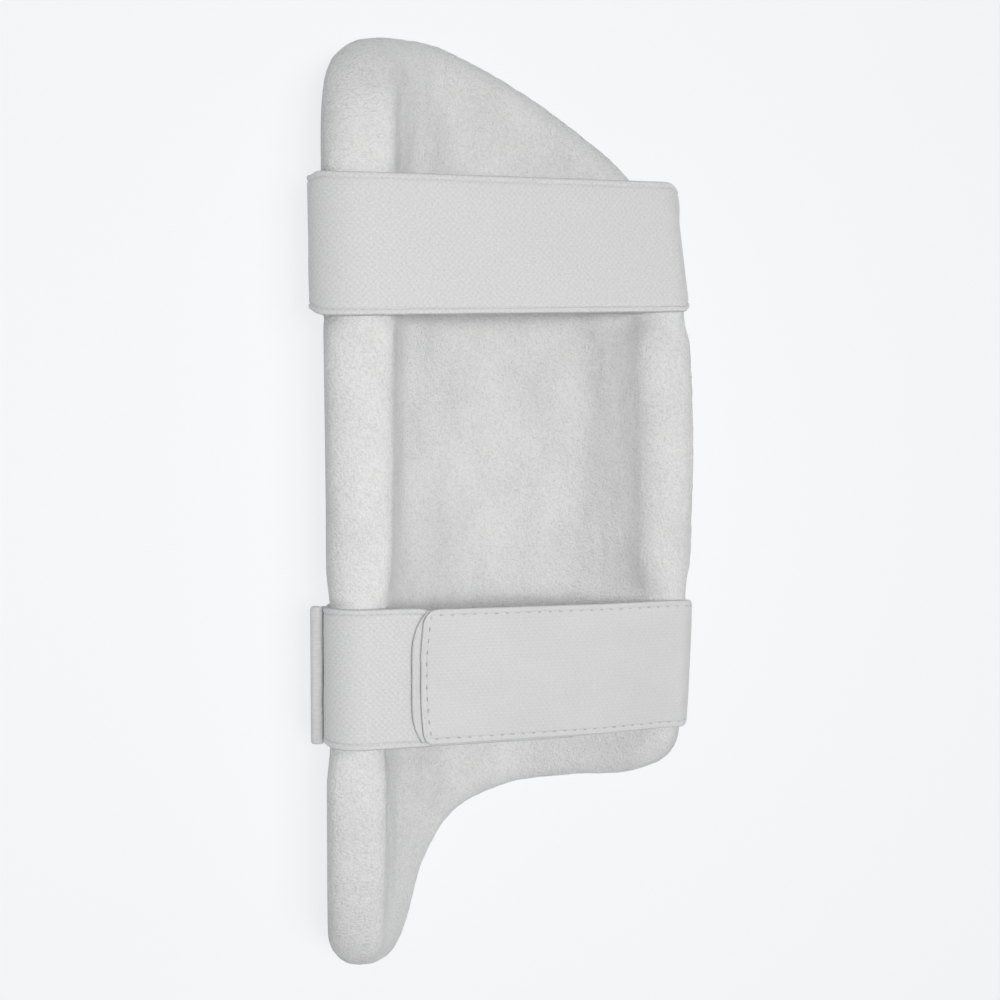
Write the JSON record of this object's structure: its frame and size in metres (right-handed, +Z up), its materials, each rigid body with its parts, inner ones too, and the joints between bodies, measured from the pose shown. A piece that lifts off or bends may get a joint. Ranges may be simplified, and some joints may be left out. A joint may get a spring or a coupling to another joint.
{
  "type": "cricket thigh pad",
  "caption": "Padded thigh guard bent to a trough, lined with towelling, with an elastic waist-end strap and a hook-and-loop strap across the open side.",
  "frame": {"origin": "under the middle of the overall box, on the surface the pad lies on", "axes": "+Z up to the strap side, +Y along the pad to its waist end, +X across it to the short side"},
  "size_m": [0.1824, 0.4292, 0.085],
  "materials": {
    "cover": "plain woven polyester over foam",
    "towelling": "terry towelling",
    "elastic": "woven elastic with a ribbed border",
    "webbing": "smooth fine weave",
    "hook": "hook side of a hook-and-loop patch"
  },
  "bodies": {
    "root": {"pad_shell": "cover", "towelling_lining": "towelling", "upper_strap": "elastic", "lower_strap": "elastic", "fastening_tab": "webbing", "hook_patch": "hook", "strap_anchor": "webbing"}
  },
  "joints": []
}
